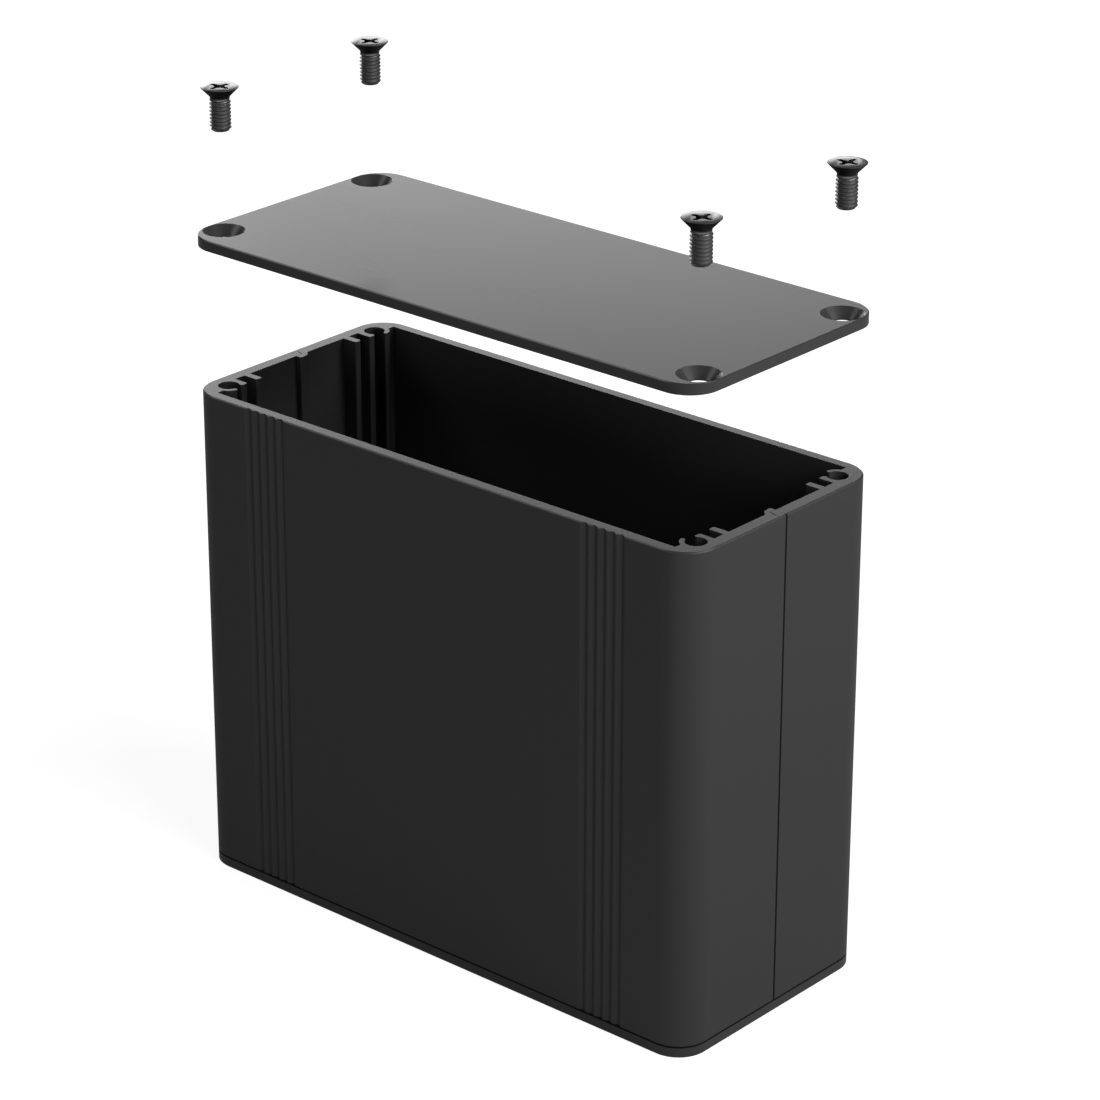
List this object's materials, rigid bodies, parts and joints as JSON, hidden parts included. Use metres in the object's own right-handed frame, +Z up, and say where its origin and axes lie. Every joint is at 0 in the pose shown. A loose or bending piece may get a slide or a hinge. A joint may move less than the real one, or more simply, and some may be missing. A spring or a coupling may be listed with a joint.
{
  "type": "aluminium enclosure",
  "caption": "Upright extruded aluminium enclosure for circuit boards: hooked half shells with card slots and grooved faces, closed by flat end plates; the top plate and its screws lifted off.",
  "frame": {"origin": "middle of the base, on the surface that the enclosure stands on", "axes": "+Z up along the extruded length, towards the open end; X along the width; Y along the depth, with the front half shell at -Y"},
  "size_m": [0.088, 0.038, 0.1137],
  "materials": {
    "shell_aluminium": "black anodised, satin",
    "plate_aluminium": "black anodised, satin",
    "screw_steel": "blackened"
  },
  "bodies": {
    "housing": {"front_shell": "shell_aluminium", "back_shell": "shell_aluminium", "bottom_end_plate": "plate_aluminium", "bottom_screw_front_left": "screw_steel", "bottom_screw_front_right": "screw_steel", "bottom_screw_back_left": "screw_steel", "bottom_screw_back_right": "screw_steel"},
    "lid": {"top_end_plate": "plate_aluminium"},
    "screw_front_left": {"top_screw_front_left": "screw_steel"},
    "screw_front_right": {"top_screw_front_right": "screw_steel"},
    "screw_back_left": {"top_screw_back_left": "screw_steel"},
    "screw_back_right": {"top_screw_back_right": "screw_steel"}
  },
  "joints": [
    {"name": "lid_lift", "type": "slide", "parent": "housing", "child": "lid", "axis": [0, 0, 1], "range_m": [-0.0207, 0]},
    {"name": "front_left_screw_travel", "type": "slide", "parent": "lid", "child": "screw_front_left", "axis": [0, 0, 1], "range_m": [-0.0202, 0]},
    {"name": "front_right_screw_travel", "type": "slide", "parent": "lid", "child": "screw_front_right", "axis": [0, 0, 1], "range_m": [-0.0202, 0]},
    {"name": "back_left_screw_travel", "type": "slide", "parent": "lid", "child": "screw_back_left", "axis": [0, 0, 1], "range_m": [-0.0202, 0]},
    {"name": "back_right_screw_travel", "type": "slide", "parent": "lid", "child": "screw_back_right", "axis": [0, 0, 1], "range_m": [-0.0202, 0]}
  ]
}
